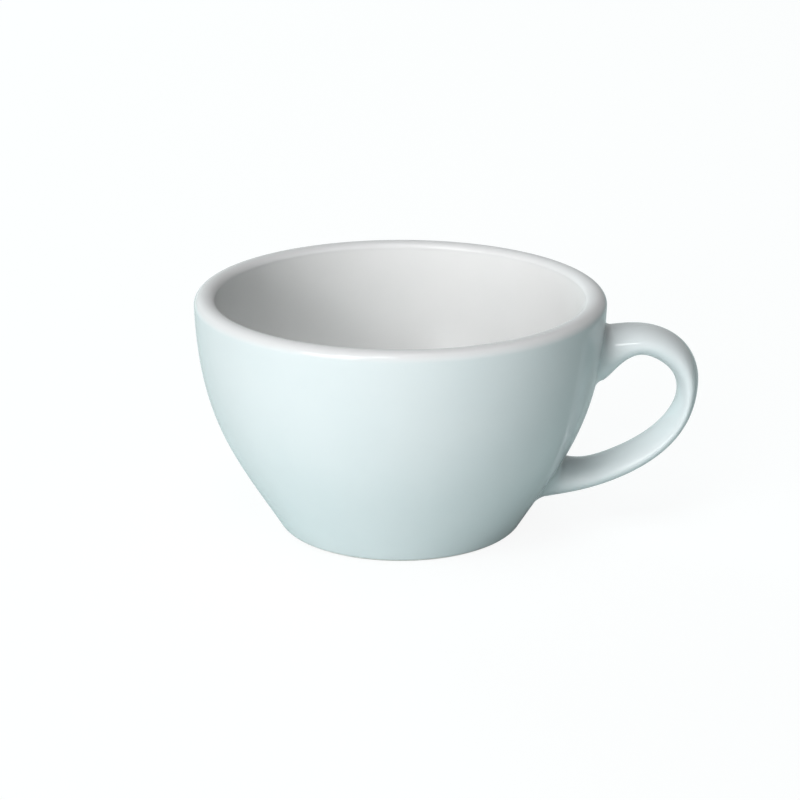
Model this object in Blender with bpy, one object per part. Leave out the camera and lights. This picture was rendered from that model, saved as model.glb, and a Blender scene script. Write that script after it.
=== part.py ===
"""Cappuccino cup: a turned porcelain bowl, a cast loop handle luted on with slip, and coats of glaze.

The cup stands on z = 0 with +Z up. Its handle reaches towards +X. The outline is drawn once for the
glazed cup, and the bare porcelain lies inside it by one coat of glaze and its clearance.
"""

import math

import bmesh
import bpy
import numpy as np

MM = 0.001

# Bowl, measured over the glaze
RIM_DIAMETER = 105.0 * MM
HEIGHT = 62.3 * MM
LIP_OUTER_RADIUS = 3.3 * MM
LIP_INNER_RADIUS = 1.5 * MM
WALL_LEAN = math.radians(1.5)
WALL_UPPER_PULL = 28.6 * MM
WALL_LOWER_PULL = 23.1 * MM
WALL_FOOT_SLOPE = math.radians(58.4)
FOOT_DIAMETER = 61.6 * MM
FOOT_EDGE_RADIUS = 3.1 * MM
LOWER_WALL = 6.0 * MM
FLOOR_THICKNESS = 6.0 * MM
FLOOR_ROUND_HEIGHT = 9.0 * MM

# Foot ring and the recess inside it
FOOT_RING_WIDTH = 3.6 * MM
RECESS_DEPTH = 2.4 * MM
RECESS_DRAFT = 1.6 * MM

# Glaze and fits
GLAZE_THICKNESS = 0.4 * MM
COAT_GAP = 0.1 * MM
SEAT_GAP = 0.3 * MM
SLIP_THICKNESS = 1.0 * MM
WHITE_LIP_DEPTH = 2.3 * MM
FOOT_BARE_HEIGHT = 0.8 * MM

# Handle outline in the XZ plane: drops are from the rim, heights from the table
HANDLE_PROJECTION = 24.0 * MM
HANDLE_WIDTH = 16.0 * MM
HANDLE_THICKNESS = 5.2 * MM
UPPER_OUTER_DROP = 10.7 * MM
UPPER_OUTER_ANGLE = math.radians(13.3)
UPPER_OUTER_PULL = 23.4 * MM
UPPER_INNER_DROP = 14.6 * MM
UPPER_INNER_PULL = 18.4 * MM
APEX_OUTER_DROP = 23.2 * MM
APEX_OUTER_UPPER_PULL = 6.9 * MM
APEX_OUTER_LOWER_PULL = 21.6 * MM
APEX_INNER_DROP = 27.3 * MM
APEX_INNER_UPPER_PULL = 7.4 * MM
APEX_INNER_LOWER_PULL = 11.6 * MM
LOWER_OUTER_HEIGHT = 6.1 * MM
LOWER_OUTER_ANGLE = math.radians(5.3)
LOWER_OUTER_PULL = 22.9 * MM
LOWER_INNER_HEIGHT = 13.4 * MM
LOWER_INNER_ANGLE = math.radians(4.7)
LOWER_INNER_PULL = 17.4 * MM
ROOT_DEPTH = 4.5 * MM

# Flared roots: how far the inner edge and the sides spread at the wall, and how far out the flare starts
UPPER_THROAT_FLARE = 9.0 * MM
UPPER_THROAT_REACH = 14.2 * MM
LOWER_THROAT_FLARE = 3.6 * MM
LOWER_THROAT_REACH = 12.6 * MM
SIDE_FLARE = 0.6 * MM
SIDE_REACH = 8.0 * MM
FLARE_SHOULDER = 1.4
FLARE_POWER = 3.5

# Facets
TURN_STEPS = 48
WALL_STEPS = 9
LIP_STEPS = 3
ROUND_STEPS = 3
LIMB_STEPS = 15
ROOT_CROWDING = 1.5
SECTION_SIDES = 20
MERGE_DISTANCE = 0.01 * MM
SHARP_ANGLE = math.radians(40.0)

# Colours and finishes
PORCELAIN = (0.90, 0.89, 0.86)
SLIP = (0.86, 0.85, 0.81)
WHITE_GLAZE = (0.88, 0.88, 0.88)
BLUE_GLAZE = (0.68, 0.79, 0.80)
BARE_ROUGHNESS = 0.55
GLAZE_ROUGHNESS = 0.12

RIM_RADIUS = RIM_DIAMETER / 2
FOOT_RADIUS = FOOT_DIAMETER / 2
LIP_WALL = LIP_OUTER_RADIUS + LIP_INNER_RADIUS
BODY_INSET = GLAZE_THICKNESS + COAT_GAP
SLIP_FACE = SEAT_GAP - BODY_INSET
HANDLE_FACE = SLIP_FACE + SLIP_THICKNESS + SEAT_GAP
CUP_AXIS_X = -HANDLE_PROJECTION / 2
WHOLE_LOOP = (0, 2 * LIMB_STEPS)
ROOT_STRETCHES = {
    "upper_slip_joint": (0, LIMB_STEPS),
    "lower_slip_joint": (LIMB_STEPS, 2 * LIMB_STEPS),
}


def clear_scene():
    """Remove every object that the scene starts with."""
    for item in list(bpy.data.objects):
        bpy.data.objects.remove(item, do_unlink=True)


def even(steps):
    """Even places along a curve, from 0 to 1."""
    return np.linspace(0.0, 1.0, steps + 1)


def bezier(start, start_pull, end_pull, end, places):
    """Points along one cubic curve, at places from 0 to 1."""
    t = places[:, None]
    near = (1 - t) ** 3 * start + 3 * (1 - t) ** 2 * t * start_pull
    return near + 3 * (1 - t) * t ** 2 * end_pull + t ** 3 * end


def rounded_corner(start, corner, end, steps):
    """Points along a soft curve from one side of a corner to the other, touching both sides."""
    pull = 2.0 / 3.0
    return bezier(start, start + pull * (corner - start), end + pull * (corner - end), end, even(steps))


def arc(centre, radius, start_angle, end_angle, steps):
    """Points along an arc of a circle in a plane, ends included."""
    angle = np.linspace(start_angle, end_angle, steps + 1)
    return np.stack([centre[0] + radius * np.cos(angle), centre[1] + radius * np.sin(angle)], axis=1)


def direction(angle):
    """Unit vector at an angle from the horizontal."""
    return np.array([math.cos(angle), math.sin(angle)])


def offset(line, distance):
    """A line moved sideways, to the left of its own direction, with mitred corners."""
    run = np.diff(line, axis=0)
    run /= np.linalg.norm(run, axis=1)[:, None]
    left = np.stack([-run[:, 1], run[:, 0]], axis=1)
    before = np.vstack([left[:1], left])
    after = np.vstack([left, left[-1:]])
    mitre = before + after
    mitre /= np.sum(mitre * after, axis=1)[:, None]
    return line + distance * mitre


def outer_wall():
    """Glazed outer outline of the wall, from under the lip to the foot's rounded edge."""
    top = np.array([RIM_RADIUS, HEIGHT - LIP_OUTER_RADIUS])
    up_the_wall = direction(WALL_FOOT_SLOPE)
    edge = FOOT_EDGE_RADIUS / math.tan((math.pi - WALL_FOOT_SLOPE) / 2)
    foot = np.array([FOOT_RADIUS, 0.0]) + edge * up_the_wall
    top_pull = top - WALL_UPPER_PULL * direction(math.pi / 2 - WALL_LEAN)
    return bezier(top, top_pull, foot + WALL_LOWER_PULL * up_the_wall, foot, even(WALL_STEPS))


def lip_outside():
    """Outer half of the lip, from its crown down to the wall."""
    centre = (RIM_RADIUS - LIP_OUTER_RADIUS, HEIGHT - LIP_OUTER_RADIUS)
    return arc(centre, LIP_OUTER_RADIUS, math.pi / 2, 0.0, LIP_STEPS)


def foot_edge():
    """Rounded edge from the wall to the flat of the foot ring."""
    edge = FOOT_EDGE_RADIUS / math.tan((math.pi - WALL_FOOT_SLOPE) / 2)
    centre = (FOOT_RADIUS - edge, FOOT_EDGE_RADIUS)
    return arc(centre, FOOT_EDGE_RADIUS, WALL_FOOT_SLOPE - math.pi / 2, -math.pi / 2, ROUND_STEPS)


def inner_outline():
    """Glazed inner outline, from the middle of the floor up to the crown of the lip."""
    wall = outer_wall()
    run = np.gradient(wall, axis=0)
    run /= np.linalg.norm(run, axis=1)[:, None]
    inward = np.stack([run[:, 1], -run[:, 0]], axis=1)
    thickness = np.linspace(LIP_WALL, LOWER_WALL, len(wall))[:, None]
    inner = wall + thickness * inward

    floor = RECESS_DEPTH + FLOOR_THICKNESS
    turn = floor + FLOOR_ROUND_HEIGHT
    rising = inner[::-1, 1]
    turn_point = np.array([np.interp(turn, rising, inner[::-1, 0]), turn])
    lean = np.interp(turn, rising, run[::-1, 0] / run[::-1, 1])
    corner = turn_point - FLOOR_ROUND_HEIGHT * np.array([lean, 1.0])
    flat = corner - np.array([np.linalg.norm(turn_point - corner), 0.0])
    rounding = rounded_corner(flat, corner, turn_point, ROUND_STEPS + 1)

    lip_centre = (RIM_RADIUS - LIP_OUTER_RADIUS, HEIGHT - LIP_INNER_RADIUS)
    lip = arc(lip_centre, LIP_INNER_RADIUS, math.pi, math.pi / 2, LIP_STEPS)
    between = inner[(inner[:, 1] < lip_centre[1]) & (inner[:, 1] > turn)]
    middle = np.array([[0.0, floor]])
    return np.vstack([middle, rounding, between[::-1], lip])


def recess_outline():
    """Glazed outline of the recess under the cup, from its middle to the foot ring's inner edge."""
    ring = foot_edge()[-1, 0] - FOOT_RING_WIDTH
    corner = [ring - RECESS_DRAFT, RECESS_DEPTH]
    return np.array([[0.0, RECESS_DEPTH], corner, [ring, 0.0]])


def split_at_height(line, height):
    """A falling outline cut at a height: the part above, ending there, and the part below."""
    above = line[line[:, 1] > height]
    radius = np.interp(height, line[::-1, 1], line[::-1, 0])
    cut = np.array([[radius, height]])
    return np.vstack([above, cut]), np.vstack([cut, line[line[:, 1] < height]])


def glazed_outside():
    """Whole outer outline, from the crown of the lip to the flat of the foot."""
    return np.vstack([lip_outside(), outer_wall()[1:], foot_edge()[1:]])


def wall_radius(height):
    """Radius of the glazed outer wall at a height."""
    line = glazed_outside()
    return np.interp(height, line[::-1, 1], line[::-1, 0])


def material(name, colour, roughness):
    """A plain Principled material."""
    made = bpy.data.materials.new(name)
    made.use_nodes = True
    shader = made.node_tree.nodes["Principled BSDF"]
    shader.inputs["Base Color"].default_value = (*colour, 1.0)
    shader.inputs["Roughness"].default_value = roughness
    shader.inputs["Metallic"].default_value = 0.0
    return made


def add_object(name, mesh, parent, finish=None):
    """Put a mesh in the scene under the cup's own axis."""
    made = bpy.data.objects.new(name, mesh)
    bpy.context.scene.collection.objects.link(made)
    made.parent = parent
    if finish:
        mesh.materials.append(finish)
    else:
        made.hide_render = True
        made.display_type = "WIRE"
    return made


def turned(name, outline, closed, parent, finish=None):
    """A solid turned about the cup's axis from an outline that runs down its outer side."""
    mesh = bpy.data.meshes.new(name)
    points = [(radius, 0.0, height) for radius, height in outline]
    edges = [(i, i + 1) for i in range(len(points) - 1)]
    if closed:
        edges.append((len(points) - 1, 0))
    mesh.from_pydata(points, edges, [])
    made = add_object(name, mesh, parent, finish)
    screw = made.modifiers.new("turn", "SCREW")
    screw.axis = "Z"
    screw.steps = TURN_STEPS
    screw.render_steps = TURN_STEPS
    screw.use_merge_vertices = True
    screw.merge_threshold = MERGE_DISTANCE
    screw.use_smooth_shade = True
    return made


def cut(piece, cutter, operation="DIFFERENCE"):
    """Cut a piece with another object, or keep only what they share."""
    boolean = piece.modifiers.new(cutter.name, "BOOLEAN")
    boolean.operation = operation
    boolean.solver = "EXACT"
    boolean.object = cutter


def handle_rails():
    """Outer and inner edges of the handle in the XZ plane, from the upper root to the lower."""
    apex_x = RIM_RADIUS + HANDLE_PROJECTION
    down = np.array([0.0, -1.0])
    from_root = even(LIMB_STEPS) ** ROOT_CROWDING
    to_root = 1.0 - from_root[::-1]

    def anchor(height):
        return np.array([wall_radius(height) - ROOT_DEPTH, height])

    def rail(upper, upper_pull, apex, above, below, lower, lower_pull):
        first = bezier(upper, upper + upper_pull, apex - above * down, apex, from_root)
        second = bezier(apex, apex + below * down, lower + lower_pull, lower, to_root)
        return np.vstack([first, second[1:]])

    outer = rail(
        anchor(HEIGHT - UPPER_OUTER_DROP),
        UPPER_OUTER_PULL * direction(UPPER_OUTER_ANGLE),
        np.array([apex_x, HEIGHT - APEX_OUTER_DROP]),
        APEX_OUTER_UPPER_PULL,
        APEX_OUTER_LOWER_PULL,
        anchor(LOWER_OUTER_HEIGHT),
        LOWER_OUTER_PULL * direction(LOWER_OUTER_ANGLE),
    )
    inner = rail(
        anchor(HEIGHT - UPPER_INNER_DROP),
        UPPER_INNER_PULL * direction(0.0),
        np.array([apex_x - HANDLE_THICKNESS, HEIGHT - APEX_INNER_DROP]),
        APEX_INNER_UPPER_PULL,
        APEX_INNER_LOWER_PULL,
        anchor(LOWER_INNER_HEIGHT),
        LOWER_INNER_PULL * direction(LOWER_INNER_ANGLE),
    )
    return outer, inner


def flare(rail, spread, reach):
    """How far an edge spreads as it nears the wall: a curve that levels out at both its ends."""
    stand_off = np.maximum(rail[:, 0] - wall_radius(rail[:, 1]), 0.0)
    way_out = np.minimum(stand_off / reach, 1.0)
    return spread * (1.0 - way_out ** FLARE_SHOULDER) ** FLARE_POWER


def handle_edges():
    """The handle's outer and inner edges, with the inner one flared on to the wall at both roots."""
    outer, inner = handle_rails()
    upper = np.arange(len(inner)) <= LIMB_STEPS
    upper_throat = flare(inner, UPPER_THROAT_FLARE, UPPER_THROAT_REACH)
    lower_throat = flare(inner, LOWER_THROAT_FLARE, LOWER_THROAT_REACH)
    inner[:, 1] += np.where(upper, -upper_throat, lower_throat)
    return outer, inner


def handle_sections(inset):
    """Oval cross-sections along the handle, each a ring of points, inside the glaze by an inset."""
    outer, inner = handle_edges()
    middle = (outer + inner) / 2
    half_thickness = np.linalg.norm(outer - inner, axis=1) / 2
    across = (outer - middle) / half_thickness[:, None]
    half_width = HANDLE_WIDTH / 2 + flare(middle, SIDE_FLARE, SIDE_REACH)
    angles = 2 * math.pi * np.arange(SECTION_SIDES) / SECTION_SIDES
    rings = []
    for centre, lean, thick, wide in zip(middle, across, half_thickness, half_width):
        out = (thick - inset) * np.cos(angles)
        side = (wide - inset) * np.sin(angles)
        rings.append(np.stack([centre[0] + lean[0] * out, side, centre[1] + lean[1] * out], axis=1))
    return rings


def skin(bm, rings):
    """Cover a run of rings with faces that point outwards, and return their vertices."""
    verts = [[bm.verts.new(point) for point in ring] for ring in rings]
    for ring, following in zip(verts, verts[1:]):
        for side in range(SECTION_SIDES):
            after = (side + 1) % SECTION_SIDES
            bm.faces.new((ring[side], following[side], following[after], ring[after]))
    return verts


def mesh_from(bm, name):
    """Finish a mesh with outward faces and smooth shading."""
    bmesh.ops.recalc_face_normals(bm, faces=bm.faces)
    mesh = bpy.data.meshes.new(name)
    bm.to_mesh(mesh)
    bm.free()
    mesh.shade_smooth()
    mesh.set_sharp_from_angle(angle=SHARP_ANGLE)
    return mesh


def limb(name, inset, stretch, parent, finish=None):
    """A solid stretch of the handle between two of its sections."""
    first, last = stretch
    bm = bmesh.new()
    verts = skin(bm, handle_sections(inset)[first:last + 1])
    bm.faces.new(verts[0])
    bm.faces.new(reversed(verts[-1]))
    return add_object(name, mesh_from(bm, name), parent, finish)


def sleeve(name, outer_inset, inner_inset, parent, finish):
    """A tube of even thickness that follows the whole handle."""
    bm = bmesh.new()
    outside = skin(bm, handle_sections(outer_inset))
    inside = skin(bm, handle_sections(inner_inset))
    for end in (0, -1):
        for side in range(SECTION_SIDES):
            after = (side + 1) % SECTION_SIDES
            rim = (outside[end][side], outside[end][after], inside[end][after], inside[end][side])
            bm.faces.new(rim)
    return add_object(name, mesh_from(bm, name), parent, finish)


def wall_solid(name, stand_off, parent):
    """A cutter that fills the cup's outline, standing off from the glazed wall."""
    outline = offset(glazed_outside(), stand_off)
    top = np.array([[0.0, outline[0, 1]]])
    bottom = np.array([[0.0, outline[-1, 1]]])
    return turned(name, np.vstack([top, outline, bottom]), False, parent)


def wall_shell(name, inner_stand_off, outer_stand_off, parent):
    """A cutter in the form of a shell round the cup, between two distances from the glazed wall."""
    outside = offset(glazed_outside(), outer_stand_off)
    inside = offset(glazed_outside(), inner_stand_off)
    return turned(name, np.vstack([outside, inside[::-1]]), True, parent)


def make_bowl(cup):
    """The porcelain body: wall, lip, floor, foot ring and recess, bare of glaze."""
    coated, bare = split_at_height(glazed_outside(), FOOT_BARE_HEIGHT)
    coated_recess, bare_recess = split_at_height(recess_outline(), FOOT_BARE_HEIGHT)
    skin_line = np.vstack([inner_outline(), coated[1:]])
    recess = np.vstack([offset(coated_recess, BODY_INSET), bare_recess[1:]])
    outline = np.vstack([offset(skin_line, -BODY_INSET), bare[1:], recess[::-1]])
    turned("bowl", outline, False, cup, material("porcelain", PORCELAIN, BARE_ROUGHNESS))


def coat_outline(line, side):
    """Outline of a coat of glaze under a line, laid on the porcelain at its left (1) or right (-1)."""
    return np.vstack([line, offset(line, side * GLAZE_THICKNESS)[::-1]])


def make_lining_glaze(cup):
    """The white coat: over the floor, up the inside and over the lip to its outer shoulder."""
    over_lip, _ = split_at_height(glazed_outside(), HEIGHT - WHITE_LIP_DEPTH)
    outline = coat_outline(np.vstack([inner_outline(), over_lip[1:]]), -1)
    turned("lining_glaze", outline, False, cup, material("white glaze", WHITE_GLAZE, GLAZE_ROUGHNESS))


def make_outer_glaze(cup):
    """The blue coat on the wall, open where the handle's roots meet the porcelain."""
    _, below_lip = split_at_height(glazed_outside(), HEIGHT - WHITE_LIP_DEPTH - SEAT_GAP)
    line, _ = split_at_height(below_lip, FOOT_BARE_HEIGHT + SEAT_GAP)
    outline = coat_outline(line, -1)
    coat = turned("outer_glaze", outline, True, cup, material("blue glaze", BLUE_GLAZE, GLAZE_ROUGHNESS))
    clear_of_slip = BODY_INSET - SEAT_GAP
    for name, stretch in ROOT_STRETCHES.items():
        cut(coat, limb(name + "_opening", clear_of_slip, stretch, cup))


def make_base_glaze(cup):
    """The blue coat in the recess, down to the wiped foot ring."""
    line, _ = split_at_height(recess_outline(), FOOT_BARE_HEIGHT + SEAT_GAP)
    outline = coat_outline(line, 1)[::-1]
    turned("base_glaze", outline, False, cup, material("base glaze", BLUE_GLAZE, GLAZE_ROUGHNESS))


def make_handle(cup):
    """The cast loop, trimmed to the slip at both roots."""
    finish = material("cast porcelain", PORCELAIN, BARE_ROUGHNESS)
    handle = limb("handle", BODY_INSET, WHOLE_LOOP, cup, finish)
    cut(handle, wall_solid("handle_trim", HANDLE_FACE, cup))


def make_slip_joints(cup):
    """The pads of slip between the porcelain wall and the handle's two roots."""
    bed = wall_shell("slip_bed", SLIP_FACE, SLIP_FACE + SLIP_THICKNESS, cup)
    for name, stretch in ROOT_STRETCHES.items():
        pad = limb(name, BODY_INSET, stretch, cup, material(name, SLIP, BARE_ROUGHNESS))
        cut(pad, bed, "INTERSECT")


def make_handle_glaze(cup):
    """The blue coat round the handle, trimmed to the coat on the wall."""
    finish = material("handle glaze", BLUE_GLAZE, GLAZE_ROUGHNESS)
    coat = sleeve("handle_glaze", 0.0, GLAZE_THICKNESS, cup, finish)
    cut(coat, wall_solid("glaze_trim", SEAT_GAP, cup))


def main():
    """Build the cup from its body outwards."""
    clear_scene()
    cup = bpy.data.objects.new("cup", None)
    bpy.context.scene.collection.objects.link(cup)
    cup.location.x = CUP_AXIS_X
    make_bowl(cup)
    make_handle(cup)
    make_slip_joints(cup)
    make_lining_glaze(cup)
    make_outer_glaze(cup)
    make_base_glaze(cup)
    make_handle_glaze(cup)


if __name__ == "__main__":
    main()
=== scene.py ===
"""Cappuccino cup, dressed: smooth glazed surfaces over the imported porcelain, in plain studio light.

The bowl's body and coats are turned by Geometry Nodes from outlines that follow the frame. The handle's
coat is skinned from oval sections between two drawn edges, and both roots run out on to the wall in a
fillet of glaze. Sizes are in metres, heights are above the table, and radii are from the bowl's axis.
"""

import logging
import math
from dataclasses import dataclass
from enum import Enum

import bmesh
import bpy
import numpy as np
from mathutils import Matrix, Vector


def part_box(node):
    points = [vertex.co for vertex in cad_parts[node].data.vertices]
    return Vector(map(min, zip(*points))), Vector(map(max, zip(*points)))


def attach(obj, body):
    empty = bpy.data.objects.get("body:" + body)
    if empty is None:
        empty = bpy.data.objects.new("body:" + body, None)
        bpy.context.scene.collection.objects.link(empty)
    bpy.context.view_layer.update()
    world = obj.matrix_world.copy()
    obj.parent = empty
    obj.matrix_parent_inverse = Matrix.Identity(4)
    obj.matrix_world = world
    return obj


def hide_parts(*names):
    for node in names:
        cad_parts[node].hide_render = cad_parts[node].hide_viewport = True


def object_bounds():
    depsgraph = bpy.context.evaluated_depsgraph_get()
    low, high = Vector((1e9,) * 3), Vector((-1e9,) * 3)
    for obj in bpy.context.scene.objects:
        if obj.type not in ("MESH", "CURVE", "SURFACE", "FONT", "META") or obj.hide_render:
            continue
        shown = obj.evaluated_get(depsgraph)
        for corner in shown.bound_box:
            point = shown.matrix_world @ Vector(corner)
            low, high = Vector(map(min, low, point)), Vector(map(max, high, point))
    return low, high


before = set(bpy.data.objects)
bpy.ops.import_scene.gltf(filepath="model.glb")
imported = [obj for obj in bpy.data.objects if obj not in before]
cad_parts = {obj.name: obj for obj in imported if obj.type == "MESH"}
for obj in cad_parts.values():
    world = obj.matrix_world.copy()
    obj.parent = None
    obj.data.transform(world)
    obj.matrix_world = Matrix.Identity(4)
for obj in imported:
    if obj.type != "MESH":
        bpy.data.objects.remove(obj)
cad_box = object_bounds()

MM = 0.001
BODY = "root"
WELD_DISTANCE = 0.001 * MM
SMALLEST_RISE = 1e-9
SHARP_ANGLE = math.radians(40.0)
# The white lining darkens to a grey over the top of the lip: painted shade.
WHITE_LIP_SHADE_START = 0.3 * MM
WHITE_LIP_SHADE_DEPTH = 2.2 * MM
BLUE_FADE_DEPTH = 1.9 * MM
SATIN_ROUGHNESS = 0.25
NOISE_MIDDLE = 0.5
LOG = logging.getLogger("cup")

Points = np.ndarray
Colour = tuple[float, float, float]


class Slot(Enum):
    """The record's material slots."""

    PORCELAIN = "porcelain"
    SLIP = "slip"
    WHITE_GLAZE = "white_glaze"
    BLUE_GLAZE = "blue_glaze"


class Root(Enum):
    """The handle's two ends on the wall, with the end of the loop's parameter that each one takes."""

    UPPER = 0.0
    LOWER = 2.0


def bezier(start: Points, start_pull: Points, end_pull: Points, end: Points, t: Points) -> Points:
    """Read one cubic curve.

    Args:
        start: First point.
        start_pull: Control point that the curve leaves towards.
        end_pull: Control point that the curve arrives from.
        end: Last point.
        t: Places along the curve, from 0 to 1, in any shape.

    Returns:
        One point for each place, on a new last axis.
    """
    t = np.asarray(t)[..., None]
    near = (1 - t) ** 3 * start + 3 * (1 - t) ** 2 * t * start_pull
    return near + 3 * (1 - t) * t ** 2 * end_pull + t ** 3 * end


def arc(centre: Points, radii: Points, first: float, last: float, steps: int) -> Points:
    """Read an arc of an upright ellipse.

    Args:
        centre: The ellipse's centre.
        radii: Its half width and half height.
        first: Angle of the first point, in radians.
        last: Angle of the last point.
        steps: Steps between them.

    Returns:
        Points along the arc, ends included.
    """
    angle = np.linspace(first, last, steps + 1)
    return np.asarray(centre) + np.asarray(radii) * np.stack([np.cos(angle), np.sin(angle)], axis=1)


def heading(angle: float) -> Points:
    """Give the unit vector at an angle from the horizontal."""
    return np.array([math.cos(angle), math.sin(angle)])


def unit(vectors: Points) -> Points:
    """Scale vectors on the last axis to a length of 1."""
    return vectors / np.linalg.norm(vectors, axis=-1, keepdims=True)


def offset(line: Points, distance: float) -> Points:
    """Move an outline sideways, to the left of its own direction, with mitred corners.

    Args:
        line: Points of the outline.
        distance: How far it moves. A negative distance goes to the right.

    Returns:
        As many points, moved.
    """
    run = unit(np.diff(line, axis=0))
    left = np.stack([-run[:, 1], run[:, 0]], axis=1)
    before = np.vstack([left[:1], left])
    after = np.vstack([left, left[-1:]])
    mitre = before + after
    mitre /= np.sum(mitre * after, axis=1)[:, None]
    return line + distance * mitre


@dataclass(frozen=True)
class Facets:
    """How finely the shown surfaces are divided."""

    turn: int = 192
    wall: int = 80
    lip: int = 40
    rounding: int = 20
    bead: int = 6
    handle_rows: int = 200
    handle_sides: int = 96
    fillet_rows: int = 14
    search_rows: int = 160


@dataclass(frozen=True)
class CupForm:
    """The glazed cup's turned form. The rim, the height and the axis come from the frame."""

    rim_radius: float
    height: float
    axis_x: float
    facets: Facets = Facets()
    crown_drop: float = 0.45 * MM
    lip_outer_width: float = 2.8 * MM
    lip_outer_depth: float = 2.4 * MM
    lip_inner_width: float = 2.5 * MM
    lip_inner_depth: float = 1.6 * MM
    wall_lean: float = math.radians(1.5)
    wall_upper_pull: float = 29.1 * MM
    wall_lower_pull: float = 23.1 * MM
    wall_foot_slope: float = math.radians(58.4)
    foot_radius: float = 30.8 * MM
    foot_edge_radius: float = 3.1 * MM
    lower_wall: float = 6.0 * MM
    floor_thickness: float = 6.0 * MM
    floor_round_height: float = 9.0 * MM
    foot_ring_width: float = 3.6 * MM
    recess_depth: float = 2.4 * MM
    recess_draft: float = 1.6 * MM
    recess_round: float = 1.2 * MM
    glaze_thickness: float = 0.4 * MM
    coat_gap: float = 0.1 * MM
    white_lip_depth: float = 0.8 * MM
    foot_bare_height: float = 0.9 * MM
    corner_pull: float = 2.0 / 3.0

    @classmethod
    def from_frame(cls) -> "CupForm":
        """Read the bowl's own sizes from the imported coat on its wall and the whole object's box.

        Returns:
            The cup's form.
        """
        low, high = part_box("outer_glaze")
        radius = (high.y - low.y) / 2
        return cls(rim_radius=radius, height=cad_box[1].z, axis_x=low.x + radius)

    @property
    def crown(self) -> float:
        """Height of the lip's crown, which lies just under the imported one's."""
        return self.height - self.crown_drop

    @property
    def foot_edge_run(self) -> float:
        """Length from the foot's drawn corner to where its rounding starts."""
        return self.foot_edge_radius / math.tan((math.pi - self.wall_foot_slope) / 2)

    @property
    def inset(self) -> float:
        """How far the porcelain lies inside the glazed outline."""
        return self.glaze_thickness + self.coat_gap

    def outer_wall(self) -> Points:
        """Draw the wall.

        Returns:
            Points from under the lip to the foot's rounding.
        """
        top = np.array([self.rim_radius, self.crown - self.lip_outer_depth])
        up_the_wall = heading(self.wall_foot_slope)
        foot = np.array([self.foot_radius, 0.0]) + self.foot_edge_run * up_the_wall
        top_pull = top - self.wall_upper_pull * heading(math.pi / 2 - self.wall_lean)
        foot_pull = foot + self.wall_lower_pull * up_the_wall
        return bezier(top, top_pull, foot_pull, foot, np.linspace(0.0, 1.0, self.facets.wall + 1))

    def outside(self) -> Points:
        """Draw the whole outer outline.

        Returns:
            Points from the crown of the lip to the flat of the foot.
        """
        lip_centre = (self.rim_radius - self.lip_outer_width, self.crown - self.lip_outer_depth)
        lip_radii = (self.lip_outer_width, self.lip_outer_depth)
        lip = arc(lip_centre, lip_radii, math.pi / 2, 0.0, self.facets.lip)
        foot_centre = (self.foot_radius - self.foot_edge_run, self.foot_edge_radius)
        foot_radii = (self.foot_edge_radius, self.foot_edge_radius)
        start = self.wall_foot_slope - math.pi / 2
        foot = arc(foot_centre, foot_radii, start, -math.pi / 2, self.facets.rounding)
        return np.vstack([lip, self.outer_wall()[1:], foot[1:]])

    def inside(self) -> Points:
        """Draw the inner outline.

        Returns:
            Points from the middle of the floor up to the crown of the lip.
        """
        wall = self.outer_wall()
        run = unit(np.gradient(wall, axis=0))
        inward = np.stack([run[:, 1], -run[:, 0]], axis=1)
        lip_wall = self.lip_outer_width + self.lip_inner_width
        inner = wall + np.linspace(lip_wall, self.lower_wall, len(wall))[:, None] * inward

        floor = self.recess_depth + self.floor_thickness
        turn = floor + self.floor_round_height
        rising = inner[::-1, 1]
        turn_point = np.array([np.interp(turn, rising, inner[::-1, 0]), turn])
        lean = np.interp(turn, rising, run[::-1, 0] / run[::-1, 1])
        corner = turn_point - self.floor_round_height * np.array([lean, 1.0])
        flat = corner - np.array([np.linalg.norm(turn_point - corner), 0.0])
        rounding = self.rounded_corner(flat, corner, turn_point)

        lip_centre = (self.rim_radius - self.lip_outer_width, self.crown - self.lip_inner_depth)
        lip_radii = (self.lip_inner_width, self.lip_inner_depth)
        lip = arc(lip_centre, lip_radii, math.pi, math.pi / 2, self.facets.lip)
        between = inner[(inner[:, 1] < lip_centre[1]) & (inner[:, 1] > turn)]
        middle = np.array([[0.0, floor]])
        return np.vstack([middle, rounding, between[::-1], lip])

    def recess(self) -> Points:
        """Draw the recess under the cup.

        Returns:
            Points from its middle to the foot ring's inner edge.
        """
        ring = self.outside()[-1, 0] - self.foot_ring_width
        corner = np.array([ring - self.recess_draft, self.recess_depth])
        edge = np.array([ring, 0.0])
        down = corner + self.recess_round * unit(edge - corner)
        rounding = self.rounded_corner(corner - [self.recess_round, 0.0], corner, down)
        return np.vstack([[0.0, self.recess_depth], rounding, edge])

    def rounded_corner(self, start: Points, corner: Points, end: Points) -> Points:
        """Draw a soft curve from one side of a corner to the other.

        Args:
            start: Where the curve leaves the first side.
            corner: The corner that it rounds.
            end: Where it meets the second side.

        Returns:
            Points along the curve, ends included.
        """
        t = np.linspace(0.0, 1.0, self.facets.rounding + 1)
        start_pull = start + self.corner_pull * (corner - start)
        end_pull = end + self.corner_pull * (corner - end)
        return bezier(start, start_pull, end_pull, end, t)

    def coat(self, line: Points, side: int) -> Points:
        """Give an outline the thickness of the glaze, with a rounded bead at its last end.

        Args:
            line: The coat's shown face.
            side: 1 where the porcelain lies to the left of the line, -1 where it lies to the right.

        Returns:
            The face, the bead and the hidden back, as one run of points.
        """
        back = offset(line, side * self.glaze_thickness)
        forward = unit(line[-1] - line[-2])
        across = (back[-1] - line[-1]) / 2
        angle = np.linspace(0.0, math.pi, self.facets.bead + 1)[1:-1, None]
        middle = line[-1] + across
        reach = self.glaze_thickness / 2 * forward
        bead = middle - np.cos(angle) * across + np.sin(angle) * reach
        return np.vstack([line, bead, back[::-1]])

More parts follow.
